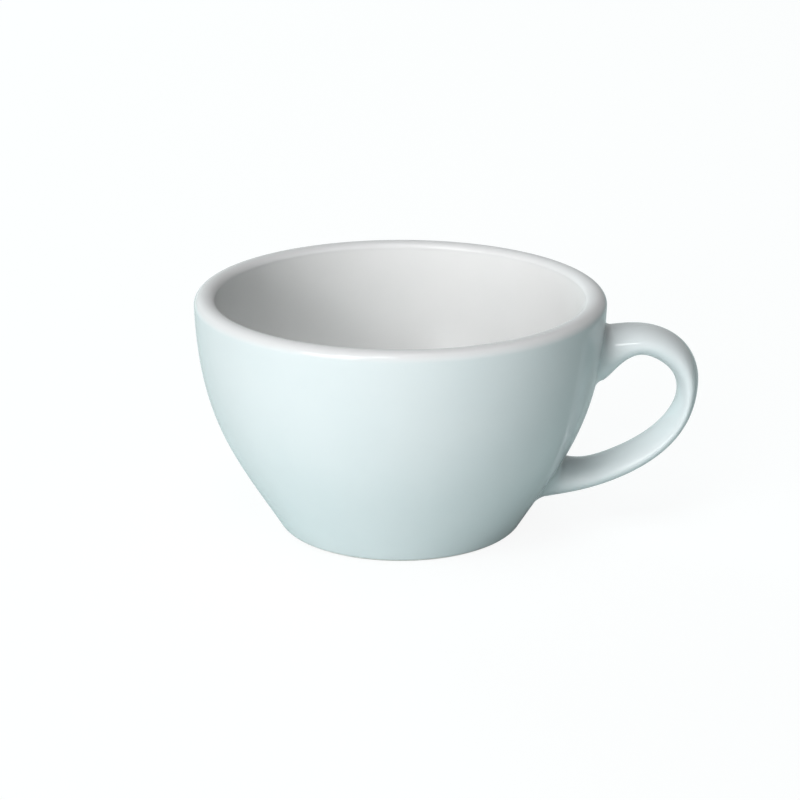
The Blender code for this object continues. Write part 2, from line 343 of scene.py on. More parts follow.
    def wall_at(self, height: Points) -> tuple[Points, Points]:
        """Read the glazed wall at some heights.

        Args:
            height: Heights above the table, in any shape.

        Returns:
            The wall's radius there, and how fast the radius grows with height.
        """
        line = self.outside()[::-1]
        slope = np.gradient(line[:, 0]) / np.maximum(np.gradient(line[:, 1]), SMALLEST_RISE)
        return np.interp(height, line[:, 1], line[:, 0]), np.interp(height, line[:, 1], slope)

    def wall_normal(self, points: Points) -> Points:
        """Give the wall's outward direction beside points.

        Args:
            points: Points from the bowl's axis.

        Returns:
            A unit vector for each point.
        """
        _, slope = self.wall_at(points[..., 2])
        radial = unit(points[..., :2])
        down = -np.broadcast_to(slope, radial.shape[:-1])
        return unit(np.concatenate([radial, down[..., None]], axis=-1))

    def stand_off(self, points: Points) -> Points:
        """Measure how far points stand out from the wall, square to it.

        Args:
            points: Points from the bowl's axis.

        Returns:
            The distance of each point.
        """
        radius, slope = self.wall_at(points[..., 2])
        out = np.linalg.norm(points[..., :2], axis=-1) - radius
        return out / np.sqrt(1 + slope ** 2)


def split_at_height(line: Points, height: float) -> tuple[Points, Points]:
    """Cut a falling outline at a height.

    Args:
        line: The outline, from its highest point down.
        height: Where it is cut.

    Returns:
        The part above, ending at the cut, and the part below, starting there.
    """
    radius = np.interp(height, line[::-1, 1], line[::-1, 0])
    cut = np.array([[radius, height]])
    return np.vstack([line[line[:, 1] > height], cut]), np.vstack([cut, line[line[:, 1] < height]])


@dataclass(frozen=True)
class HandleForm:
    """The handle's glazed form: two drawn edges, with an oval section between them."""

    cup: CupForm
    projection: float
    width: float
    thickness: float = 5.2 * MM
    upper_outer_drop: float = 10.7 * MM
    upper_outer_angle: float = math.radians(13.3)
    upper_outer_pull: float = 23.4 * MM
    upper_inner_drop: float = 14.6 * MM
    upper_inner_pull: float = 18.4 * MM
    apex_outer_drop: float = 23.2 * MM
    apex_outer_upper_pull: float = 6.9 * MM
    apex_outer_lower_pull: float = 21.6 * MM
    apex_inner_drop: float = 27.3 * MM
    apex_inner_upper_pull: float = 7.4 * MM
    apex_inner_lower_pull: float = 11.6 * MM
    lower_outer_height: float = 6.1 * MM
    lower_outer_angle: float = math.radians(5.3)
    lower_outer_pull: float = 22.9 * MM
    lower_inner_height: float = 13.4 * MM
    lower_inner_angle: float = math.radians(4.7)
    lower_inner_pull: float = 17.4 * MM
    root_depth: float = 4.5 * MM
    upper_throat_flare: float = 9.0 * MM
    upper_throat_reach: float = 14.2 * MM
    lower_throat_flare: float = 3.6 * MM
    lower_throat_reach: float = 12.6 * MM
    side_flare: float = 0.6 * MM
    side_reach: float = 8.0 * MM
    flare_shoulder: float = 1.4
    flare_power: float = 3.5
    upper_outer_fillet: float = 1.8 * MM
    upper_throat_fillet: float = 1.6 * MM
    lower_outer_fillet: float = 0.9 * MM
    lower_throat_fillet: float = 1.2 * MM
    side_fillet: float = 3.6 * MM
    sunk: float = 0.02 * MM
    probe_step: float = 1e-4

    @classmethod
    def from_frame(cls, cup: CupForm) -> "HandleForm":
        """Read the handle's reach and width from its packed coat.

        Args:
            cup: The bowl that it stands on.

        Returns:
            The handle's form.
        """
        low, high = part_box("handle_glaze")
        projection = high.x - cup.axis_x - cup.rim_radius
        root_spread = 2 * cls.side_flare
        return cls(cup=cup, projection=projection, width=high.y - low.y - root_spread)

    def rail(self, ends: list[Points], pulls: list[Points], apex: Points, along: Points) -> Points:
        """Read one edge of the handle, drawn as two curves that meet at its outermost point.

        Args:
            ends: Upper and lower end, inside the wall.
            pulls: The control points, in order along the edge.
            apex: The outermost point.
            along: Places along the edge: 0 at the upper end, 1 at the apex, 2 at the lower end.

        Returns:
            One point in the handle's plane for each place.
        """
        upper = bezier(ends[0], pulls[0], pulls[1], apex, np.clip(along, 0.0, 1.0))
        lower = bezier(apex, pulls[2], pulls[3], ends[1], np.clip(along - 1.0, 0.0, 1.0))
        return np.where((along < 1.0)[..., None], upper, lower)

    def anchor(self, height: float) -> Points:
        """Give the point inside the wall where an edge starts at a height."""
        return np.array([self.cup.wall_at(height)[0] - self.root_depth, height])

    def outer_edge(self, along: Points) -> Points:
        """Read the outer edge.

        Args:
            along: Places along the loop, from 0 to 2.

        Returns:
            One point in the handle's plane for each place.
        """
        rim = self.cup.height
        apex = np.array([self.cup.rim_radius + self.projection, rim - self.apex_outer_drop])
        upper = self.anchor(rim - self.upper_outer_drop)
        lower = self.anchor(self.lower_outer_height)
        pulls = [
            upper + self.upper_outer_pull * heading(self.upper_outer_angle),
            apex + np.array([0.0, self.apex_outer_upper_pull]),
            apex - np.array([0.0, self.apex_outer_lower_pull]),
            lower + self.lower_outer_pull * heading(self.lower_outer_angle),
        ]
        return self.rail([upper, lower], pulls, apex, along)

    def inner_edge(self, along: Points) -> Points:
        """Read the inner edge before its roots flare.

        Args:
            along: Places along the loop, from 0 to 2.

        Returns:
            One point in the handle's plane for each place.
        """
        rim = self.cup.height
        apex_x = self.cup.rim_radius + self.projection - self.thickness
        apex = np.array([apex_x, rim - self.apex_inner_drop])
        upper = self.anchor(rim - self.upper_inner_drop)
        lower = self.anchor(self.lower_inner_height)
        pulls = [
            upper + np.array([self.upper_inner_pull, 0.0]),
            apex + np.array([0.0, self.apex_inner_upper_pull]),
            apex - np.array([0.0, self.apex_inner_lower_pull]),
            lower + self.lower_inner_pull * heading(self.lower_inner_angle),
        ]
        return self.rail([upper, lower], pulls, apex, along)

    def flare(self, edge: Points, spread: float, reach: float) -> Points:
        """Say how far an edge spreads as it nears the wall.

        Args:
            edge: Points of the edge in the handle's plane.
            spread: How far it spreads at the wall.
            reach: How far out the flare starts.

        Returns:
            The spread at each point.
        """
        clear = np.maximum(edge[..., 0] - self.cup.wall_at(edge[..., 1])[0], 0.0)
        way_out = np.minimum(clear / reach, 1.0)
        return spread * (1.0 - way_out ** self.flare_shoulder) ** self.flare_power

    def surface(self, along: Points, turn: Points) -> Points:
        """Read the handle's surface.

        Args:
            along: Places along the loop, from 0 to 2.
            turn: Angles round the oval section, with 0 at the outer edge.

        Returns:
            Points from the bowl's axis, in the shape of both arguments together.
        """
        outer = self.outer_edge(along)
        inner = self.inner_edge(along)
        upper_throat = self.flare(inner, self.upper_throat_flare, self.upper_throat_reach)
        lower_throat = self.flare(inner, self.lower_throat_flare, self.lower_throat_reach)
        inner[..., 1] += np.where(along < 1.0, -upper_throat, lower_throat)
        middle = (outer + inner) / 2
        half = (outer - inner) / 2
        half_width = self.width / 2 + self.flare(middle, self.side_flare, self.side_reach)
        flat = middle + half * np.cos(turn)[..., None]
        side = half_width * np.sin(turn)
        return np.stack([flat[..., 0], side, flat[..., 1]], axis=-1)

    def outward(self, along: Points, turn: Points) -> Points:
        """Give the surface's outward direction.

        Args:
            along: Places along the loop, from 0 to 2.
            turn: Angles round the section.

        Returns:
            A unit vector for each place.
        """
        step = self.probe_step
        ahead = self.surface(along + step, turn) - self.surface(along - step, turn)
        round_it = self.surface(along, turn + step) - self.surface(along, turn - step)
        return unit(np.cross(ahead, round_it))

    def along_at(self, root: Root, turn: Points, distances: Points) -> Points:
        """Find the places where the surface stands off from the wall by given distances.

        Args:
            root: Which end of the handle.
            turn: Angles round the section.
            distances: Distances from the wall, with a column for each angle.

        Returns:
            Places along the loop, in the shape of the distances.
        """
        search = np.linspace(root.value, 1.0, self.cup.facets.search_rows)
        tried = np.broadcast_to(search[:, None], (len(search), len(turn)))
        clear = self.cup.stand_off(self.surface(tried, np.broadcast_to(turn, tried.shape)))
        rising = np.maximum.accumulate(clear, axis=0)
        columns = [np.interp(distances[:, i], rising[:, i], search) for i in range(len(turn))]
        return np.stack(columns, axis=1)

    def fillet(self, root: Root, turn: Points) -> Points:
        """Give the fillet's radius round a root.

        Args:
            root: Which end of the handle.
            turn: Angles round the section.

        Returns:
            The radius at each angle, from the outer edge over the sides to the throat.
        """
        upper = root is Root.UPPER
        outer = self.upper_outer_fillet if upper else self.lower_outer_fillet
        throat = self.upper_throat_fillet if upper else self.lower_throat_fillet
        edge = outer + (throat - outer) * (1 - np.cos(turn)) / 2
        return edge + (self.side_fillet - edge) * np.sin(turn) ** 2

    def root_rows(self, root: Root, turn: Points) -> tuple[Points, Points]:
        """Run the handle out on to the wall in a fillet.

        Args:
            root: Which end of the handle.
            turn: Angles round the section.

        Returns:
            Rows of points from the handle down to under the wall's surface, and the places along the
            loop where the fillet leaves the handle.
        """
        sweep = np.linspace(0.0, math.pi / 2, self.cup.facets.fillet_rows + 1)[:, None]
        radius = self.fillet(root, turn)
        clear = radius * (1 - np.sin(sweep))
        spread = radius * (1 - np.cos(sweep))
        along = self.along_at(root, turn, clear)
        turns = np.broadcast_to(turn, along.shape)
        points = self.surface(along, turns)
        out = self.outward(along, turns)
        wall = self.cup.wall_normal(points)
        out = unit(out - np.sum(out * wall, axis=-1, keepdims=True) * wall)
        points = points + spread[..., None] * out
        short = clear - self.cup.stand_off(points)
        points = points + short[..., None] * self.cup.wall_normal(points)
        under = points[-1:] - self.sunk * self.cup.wall_normal(points[-1:])
        return np.concatenate([points, under]), along[0]

    def rows(self) -> Points:
        """Give every row of the coat.

        Returns:
            Rows of points, from under the wall at the upper root to the lower one.
        """
        turn = 2 * math.pi * np.arange(self.cup.facets.handle_sides) / self.cup.facets.handle_sides
        upper, first = self.root_rows(Root.UPPER, turn)
        lower, last = self.root_rows(Root.LOWER, turn)
        share = np.linspace(0.0, 1.0, self.cup.facets.handle_rows + 1)[1:-1, None]
        along = first + share * (last - first)
        loop = self.surface(along, np.broadcast_to(turn, along.shape))
        return np.concatenate([upper[::-1], loop, lower])


class Tree:
    """A node tree under construction."""

    # A Mix node repeats its sockets' names for each kind of value, so its colours go by number.
    MIX_SHARE: int = 0
    MIX_FIRST_COLOUR: int = 6
    MIX_SECOND_COLOUR: int = 7
    MIX_RESULT_COLOUR: int = 2

    def __init__(self, tree: bpy.types.NodeTree) -> None:
        """Start from an empty tree."""
        self.tree = tree
        tree.nodes.clear()

    def add(self, kind: str, settings: dict | None = None, **inputs: object) -> bpy.types.Node:
        """Add a node.

        Args:
            kind: The node's type.
            settings: Properties of the node, by name.
            **inputs: Its inputs by name, with _ for a space: a value, or a socket to link.

        Returns:
            The new node.
        """
        node = self.tree.nodes.new(kind)
        for name, value in (settings or {}).items():
            setattr(node, name, value)
        for name, value in inputs.items():
            self.feed(node.inputs[name.replace("_", " ")], value)
        return node

    def feed(self, socket: bpy.types.NodeSocket, value: object) -> None:
        """Link a socket to another one, or set its value.

        Args:
            socket: The input that is fed.
            value: A socket to link, or a value.
        """
        if isinstance(value, bpy.types.NodeSocket):
            self.tree.links.new(value, socket)
        else:
            socket.default_value = value

    def math(self, operation: str, *values: object) -> bpy.types.NodeSocket:
        """Add a Math node.

        Args:
            operation: What it works out.
            *values: Its operands, numbers or sockets.

        Returns:
            The socket with the result.
        """
        node = self.add("ShaderNodeMath", {"operation": operation})
        for socket, value in zip(node.inputs, values):
            self.feed(socket, value)
        return node.outputs[0]

    def whole(self, operation: str, *values: object) -> bpy.types.NodeSocket:
        """Add an Integer Math node.

        Args:
            operation: What it works out.
            *values: Its operands, numbers or sockets.

        Returns:
            The socket with the result.
        """
        node = self.add("FunctionNodeIntegerMath", {"operation": operation})
        for socket, value in zip(node.inputs, values):
            self.feed(socket, value)
        return node.outputs[0]

    def noise(self, place: bpy.types.NodeSocket, scale: float, detail: float) -> bpy.types.NodeSocket:
        """Add a Noise Texture node.

        Args:
            place: The coordinates that it reads.
            scale: How close its features lie.
            detail: How many finer layers it adds.

        Returns:
            The socket with a value from 0 to 1.
        """
        node = self.add("ShaderNodeTexNoise", Vector=place, Scale=scale, Detail=detail)
        return node.outputs[0]

    def mix(self, share: object, first: object, second: object) -> bpy.types.NodeSocket:
        """Mix two colours.

        Args:
            share: How much of the second colour shows, from 0 to 1.
            first: A colour of four values, or a socket.
            second: The other colour.

        Returns:
            The socket with the mixed colour.
        """
        node = self.add("ShaderNodeMix", {"data_type": "RGBA"})
        self.feed(node.inputs[self.MIX_SHARE], share)
        self.feed(node.inputs[self.MIX_FIRST_COLOUR], first)
        self.feed(node.inputs[self.MIX_SECOND_COLOUR], second)
        return node.outputs[self.MIX_RESULT_COLOUR]

    def ramp(
        self, value: object, low: float, high: float, first: float, last: float
    ) -> bpy.types.NodeSocket:
        """Map a value smoothly from one range to another.

        Args:
            value: The socket that is read.
            low: Where the range starts.
            high: Where it ends.
            first: The result at and before the start.
            last: The result at and past the end.

        Returns:
            The socket with the mapped value.
        """
        node = self.add("ShaderNodeMapRange", {"interpolation_type": "SMOOTHSTEP"})
        for socket, setting in zip(node.inputs, (value, low, high, first, last)):
            self.feed(socket, setting)
        return node.outputs[0]


class TurningLathe:
    """A Geometry Nodes tree that turns an outline about the bowl's axis."""

    def __init__(self) -> None:
        """Build the tree with its named inputs."""
        self.group = bpy.data.node_groups.new("turn_about_axis", "GeometryNodeTree")
        inputs = (
            ("Outline", "NodeSocketGeometry"),
            ("Segments", "NodeSocketInt"),
            ("Axis X", "NodeSocketFloat"),
            ("Weld Distance", "NodeSocketFloat"),
            ("Finish", "NodeSocketMaterial"),
        )
        for name, kind in inputs:
            self.group.interface.new_socket(name, in_out="INPUT", socket_type=kind)
        self.group.interface.new_socket("Turned", in_out="OUTPUT", socket_type="NodeSocketGeometry")
        self.connect(Tree(self.group))

    def connect(self, tree: Tree) -> None:
        """Place each point of a grid by turning one outline point, then weld the seam and the poles.

        Args:
            tree: The empty tree of the group.
        """
        given = tree.add("NodeGroupInput").outputs
        size = tree.add("GeometryNodeAttributeDomainSize", Geometry=given["Outline"])
        columns = tree.whole("ADD", given["Segments"], 1)
        grid = tree.add("GeometryNodeMeshGrid", Vertices_X=size.outputs["Point Count"], Vertices_Y=columns)
        index = tree.add("GeometryNodeInputIndex").outputs["Index"]
        row = tree.whole("DIVIDE_FLOOR", index, columns)
        column = tree.whole("MODULO", index, columns)

        place = tree.add("GeometryNodeInputPosition").outputs["Position"]
        sample = tree.add("GeometryNodeSampleIndex", {"data_type": "FLOAT_VECTOR"})
        tree.feed(sample.inputs["Geometry"], given["Outline"])
        tree.feed(sample.inputs["Value"], place)
        tree.feed(sample.inputs["Index"], row)

        angle = tree.math("MULTIPLY", tree.math("DIVIDE", column, given["Segments"]), 2 * math.pi)
        turned = tree.add("ShaderNodeVectorRotate", {"rotation_type": "Z_AXIS"}, Angle=angle)
        tree.feed(turned.inputs["Vector"], sample.outputs["Value"])
        axis = tree.add("ShaderNodeCombineXYZ", X=given["Axis X"])
        moved = tree.add("ShaderNodeVectorMath", {"operation": "ADD"})
        tree.feed(moved.inputs[0], turned.outputs["Vector"])
        tree.feed(moved.inputs[1], axis.outputs["Vector"])

        placed = tree.add("GeometryNodeSetPosition", Geometry=grid.outputs["Mesh"])
        tree.feed(placed.inputs["Position"], moved.outputs[0])
        welded = tree.add("GeometryNodeMergeByDistance", Geometry=placed.outputs["Geometry"])
        tree.feed(welded.inputs["Distance"], given["Weld Distance"])
        smooth = tree.add("GeometryNodeSetShadeSmooth", Geometry=welded.outputs["Geometry"])
        real = tree.add("GeometryNodeRealizeInstances", Geometry=smooth.outputs["Geometry"])
        dressed = tree.add("GeometryNodeSetMaterial", Geometry=real.outputs["Geometry"])
        tree.feed(dressed.inputs["Material"], given["Finish"])
        tree.add("NodeGroupOutput", Turned=dressed.outputs["Geometry"])

    def turn(
        self, name: str, outline: Points, cup: CupForm, finish: bpy.types.Material
    ) -> bpy.types.Object:
        """Turn an outline into a closed piece.

        Args:
            name: The piece's name.
            outline: Radius and height of each point, a loop or a run from axis to axis.
            cup: The form that gives the axis and the number of segments.
            finish: The piece's material.

        Returns:
            The piece, as a plain mesh at the origin.
        """
        drawn = bpy.data.meshes.new(name + "_outline")
        drawn.from_pydata([(radius, 0.0, height) for radius, height in outline], [], [])
        worker = bpy.data.objects.new(name + "_outline", drawn)
        bpy.context.scene.collection.objects.link(worker)
        modifier = worker.modifiers.new("turn", "NODES")
        modifier.node_group = self.group
        settings = {
            "Segments": cup.facets.turn,
            "Axis X": cup.axis_x,
            "Weld Distance": WELD_DISTANCE,
            "Finish": finish,
        }
        for item in self.group.interface.items_tree:
            if item.name in settings:
                modifier[item.identifier] = settings[item.name]
        shown = worker.evaluated_get(bpy.context.evaluated_depsgraph_get())
        mesh = bpy.data.meshes.new_from_object(shown)
        mesh.name = name
        bpy.data.objects.remove(worker)
        bpy.data.meshes.remove(drawn)
        return add_piece(name, mesh)


def add_piece(name: str, mesh: bpy.types.Mesh) -> bpy.types.Object:
    """Put a mesh in the scene with its faces pointing outwards and its corners kept sharp.

    Args:
        name: The piece's name.
        mesh: A closed mesh in the row frame.

    Returns:
        The new object, at the origin.
    """
    bm = bmesh.new()
    bm.from_mesh(mesh)
    bmesh.ops.remove_doubles(bm, verts=bm.verts, dist=WELD_DISTANCE)
    bmesh.ops.dissolve_degenerate(bm, edges=bm.edges, dist=WELD_DISTANCE)
    bmesh.ops.recalc_face_normals(bm, faces=bm.faces)
    bm.to_mesh(mesh)
    bm.free()
    mesh.shade_smooth()
    mesh.set_sharp_from_angle(angle=SHARP_ANGLE)
    piece = bpy.data.objects.new(name, mesh)
    bpy.context.scene.collection.objects.link(piece)
    return piece


def settle(piece: bpy.types.Object, slot: Slot, *nodes: str) -> None:
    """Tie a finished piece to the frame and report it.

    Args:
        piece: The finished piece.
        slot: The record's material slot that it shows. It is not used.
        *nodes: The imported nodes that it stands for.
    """
    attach(piece, BODY)
    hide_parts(*nodes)
    LOG.info("%s stands for %s, with %d faces", piece.name, ", ".join(nodes), len(piece.data.polygons))


@dataclass(frozen=True)
class Glaze:
    """A coat of glaze with a faint mottle and soft waves, which takes a grey tone towards the lip. The grey
    is painted shade that makes the lip look less lit; on the blue coat it is also the lip's real pale band
    where the blue thins.
    """

    name: str
    colour: Colour
    mottle: Colour
    fade_top: float
    fade_depth: float
    # Painted shade: a grey darker than the white glaze, so that the lip looks less lit. On the blue coat it
    # is also the real pale lip where the blue thins.
    lip_white_and_painted_shade: Colour = (0.69, 0.695, 0.70)
    fade_wander: float = 0.35 * MM
    wander_scale: float = 90.0
    wander_detail: float = 1.0
    roughness: float = 0.04
    ior: float = 1.52
    mottle_scale: float = 55.0
    mottle_detail: float = 4.0
    mottle_range: tuple[float, float] = (0.35, 0.65)
    wave_scale: float = 160.0
    wave_detail: float = 1.0
    wave_depth: float = 0.03 * MM
    wave_strength: float = 0.1

    def material(self) -> bpy.types.Material:
        """Make the coat's material.

        Returns:
            The new material.
        """
        made = bpy.data.materials.new(self.name)
        made.use_nodes = True
        tree = Tree(made.node_tree)
        place = tree.add("ShaderNodeTexCoord").outputs["Object"]
        colour = self.colours(tree, place)
        waves = tree.noise(place, self.wave_scale, self.wave_detail)
        bump = tree.add("ShaderNodeBump", Strength=self.wave_strength, Distance=self.wave_depth)
        tree.feed(bump.inputs["Height"], waves)
        shader = tree.add("ShaderNodeBsdfPrincipled", Roughness=self.roughness, IOR=self.ior)
        tree.feed(shader.inputs["Base Color"], colour)
        tree.feed(shader.inputs["Normal"], bump.outputs["Normal"])
        tree.add("ShaderNodeOutputMaterial", Surface=shader.outputs["BSDF"])
        return made

    def colours(self, tree: Tree, place: bpy.types.NodeSocket) -> bpy.types.NodeSocket:
        """Mix the coat's colours, and fade them towards the lip into a grey that holds painted shade.

        Args:
            tree: The material's tree.
            place: Object coordinates.

        Returns:
            The socket with the colour.
        """
        clouds = tree.noise(place, self.mottle_scale, self.mottle_detail)
        share = tree.ramp(clouds, *self.mottle_range, 0.0, 1.0)
        full = tree.mix(share, (*self.colour, 1.0), (*self.mottle, 1.0))
        height = tree.add("ShaderNodeSeparateXYZ", Vector=place).outputs["Z"]
        drift = tree.noise(place, self.wander_scale, self.wander_detail)
        either_way = tree.math("SUBTRACT", drift, NOISE_MIDDLE)
        wander = tree.math("MULTIPLY", either_way, 2 * self.fade_wander)
        level = tree.math("ADD", height, wander)
        # Towards the crown the colour goes over to the lip's grey: painted shade on the lip.
        lip_and_shade_share = tree.ramp(level, self.fade_top - self.fade_depth, self.fade_top, 0.0, 1.0)
        return tree.mix(lip_and_shade_share, full, (*self.lip_white_and_painted_shade, 1.0))


@dataclass(frozen=True)
class BarePorcelain:
    """Unglazed fired clay: matt, with a fine grain and faint grey rubbing."""

    name: str
    colour: Colour
    rubbed: Colour
    roughness: float = 0.55
    rub_scale: float = 220.0
    rub_detail: float = 6.0
    rub_range: tuple[float, float] = (0.45, 0.75)
    polish_range: tuple[float, float] = (0.3, 0.7)
    smoothest: float = 0.85
    roughest: float = 1.1
    grain_scale: float = 2500.0
    grain_detail: float = 2.0
    grain_depth: float = 0.02 * MM
    grain_strength: float = 0.5

    def material(self) -> bpy.types.Material:
        """Make the material.

        Returns:
            The new material.
        """
        made = bpy.data.materials.new(self.name)
        made.use_nodes = True
        tree = Tree(made.node_tree)
        place = tree.add("ShaderNodeTexCoord").outputs["Object"]
        rubs = tree.noise(place, self.rub_scale, self.rub_detail)
        share = tree.ramp(rubs, *self.rub_range, 0.0, 1.0)
        colour = tree.mix(share, (*self.colour, 1.0), (*self.rubbed, 1.0))
        grain = tree.noise(place, self.grain_scale, self.grain_detail)
        bump = tree.add("ShaderNodeBump", Strength=self.grain_strength, Distance=self.grain_depth)
        tree.feed(bump.inputs["Height"], grain)
        ends = (self.roughness * self.smoothest, self.roughness * self.roughest)
        roughness = tree.ramp(rubs, *self.polish_range, *ends)
        shader = tree.add("ShaderNodeBsdfPrincipled", Base_Color=colour, Roughness=roughness)
        tree.feed(shader.inputs["Normal"], bump.outputs["Normal"])
        tree.add("ShaderNodeOutputMaterial", Surface=shader.outputs["BSDF"])
        return made


@dataclass
class Bowl:
    """The turned body with its white lining, its blue coat and the coat in its recess."""

    form: CupForm
    lathe: TurningLathe
    porcelain: BarePorcelain
    white: Glaze
    blue: Glaze

    def build(self) -> None:
        """Turn and settle the bowl's four pieces."""
        settle(self.body(), Slot.PORCELAIN, "bowl")
        settle(self.lining(), Slot.WHITE_GLAZE, "lining_glaze")
        settle(self.outer_coat(), Slot.BLUE_GLAZE, "outer_glaze")
        settle(self.base_coat(), Slot.BLUE_GLAZE, "base_glaze")

    def body(self) -> bpy.types.Object:
        """Turn the porcelain, which lies under the coats and shows bare at the foot ring.

        Returns:
            The piece.
        """
        form = self.form
        coated, bare = split_at_height(form.outside(), form.foot_bare_height)
        coated_recess, bare_recess = split_at_height(form.recess(), form.foot_bare_height)
        skin = np.vstack([form.inside(), coated[1:]])
        recess = np.vstack([offset(coated_recess, form.inset), bare_recess[1:]])
        outline = np.vstack([offset(skin, -form.inset), bare[1:], recess[::-1]])
        return self.lathe.turn("bowl_body", outline, form, self.porcelain.material())

    def lining(self) -> bpy.types.Object:
        """Turn the white coat, over the floor, up the inside and over the lip.

        Returns:
            The piece.
        """
        form = self.form
        over_lip, _ = split_at_height(form.outside(), form.crown - form.white_lip_depth)
        face = np.vstack([form.inside(), over_lip[1:]])
        outline = np.vstack([face, offset(face, -form.glaze_thickness)[::-1]])
        return self.lathe.turn("lining_coat", outline, form, self.white.material())

    def outer_coat(self) -> bpy.types.Object:
        """Turn the blue coat on the wall, from the lip's shoulder to a bead above the foot.

        Returns:
            The piece.
        """
        form = self.form
        _, below_lip = split_at_height(form.outside(), form.crown - form.white_lip_depth)
        face, _ = split_at_height(below_lip, form.foot_bare_height)
        outline = form.coat(face, -1)
        return self.lathe.turn("outer_coat", np.vstack([outline, outline[:1]]), form, self.blue.material())

    def base_coat(self) -> bpy.types.Object:
        """Turn the blue coat in the recess, down to a bead above the foot ring.

        Returns:
            The piece.
        """
        face, _ = split_at_height(self.form.recess(), self.form.foot_bare_height)
        outline = self.form.coat(face, 1)
        return self.lathe.turn("base_coat", outline, self.form, self.blue.material())


@dataclass
class Handle:
    """The loop's coat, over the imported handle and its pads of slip."""

    form: HandleForm
    porcelain: BarePorcelain
    slip: BarePorcelain
    blue: Glaze

    def build(self) -> None:
        """Skin and settle the coat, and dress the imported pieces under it."""
        settle(self.coat(), Slot.BLUE_GLAZE, "handle_glaze")
        self.dress("handle", self.porcelain.material())
        slip = self.slip.material()
        self.dress("upper_slip_joint", slip)
        self.dress("lower_slip_joint", slip)

    def coat(self) -> bpy.types.Object:
        """Skin the rows of the handle's surface and close both ends inside the wall.

        Returns:
            The piece.
        """
        rows = self.form.rows() + np.array([self.form.cup.axis_x, 0.0, 0.0])
        count = self.form.cup.facets.handle_sides
        ends = np.stack([rows[0].mean(axis=0), rows[-1].mean(axis=0)])
        verts = np.concatenate([rows.reshape(-1, 3), ends])
        faces = []
        for row in range(len(rows) - 1):
            for side in range(count):
                here = row * count + side
                beside = row * count + (side + 1) % count
                faces.append((here, here + count, beside + count, beside))
        for centre, row in ((len(verts) - 2, 0), (len(verts) - 1, len(rows) - 1)):
            for side in range(count):
                faces.append((centre, row * count + side, row * count + (side + 1) % count))
        mesh = bpy.data.meshes.new("handle_coat")
        mesh.from_pydata(verts.tolist(), [], faces)
        mesh.materials.append(self.blue.material())
        return add_piece("handle_coat", mesh)

    def dress(self, node: str, finish: bpy.types.Material) -> None:
        """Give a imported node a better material.

        Args:
            node: The node's name.
            finish: Its new material.
        """
        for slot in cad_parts[node].material_slots:
            slot.material = finish
        LOG.info("%s keeps its packed shape", node)


@dataclass(frozen=True)
class Softbox:
    """A flat lamp that faces the bowl, with its angles in degrees."""

    name: str
    azimuth: float
    elevation: float
    width: float
    height: float
    power: float
    mirrored: bool = False
    colour: Colour = (1.0, 1.0, 1.0)


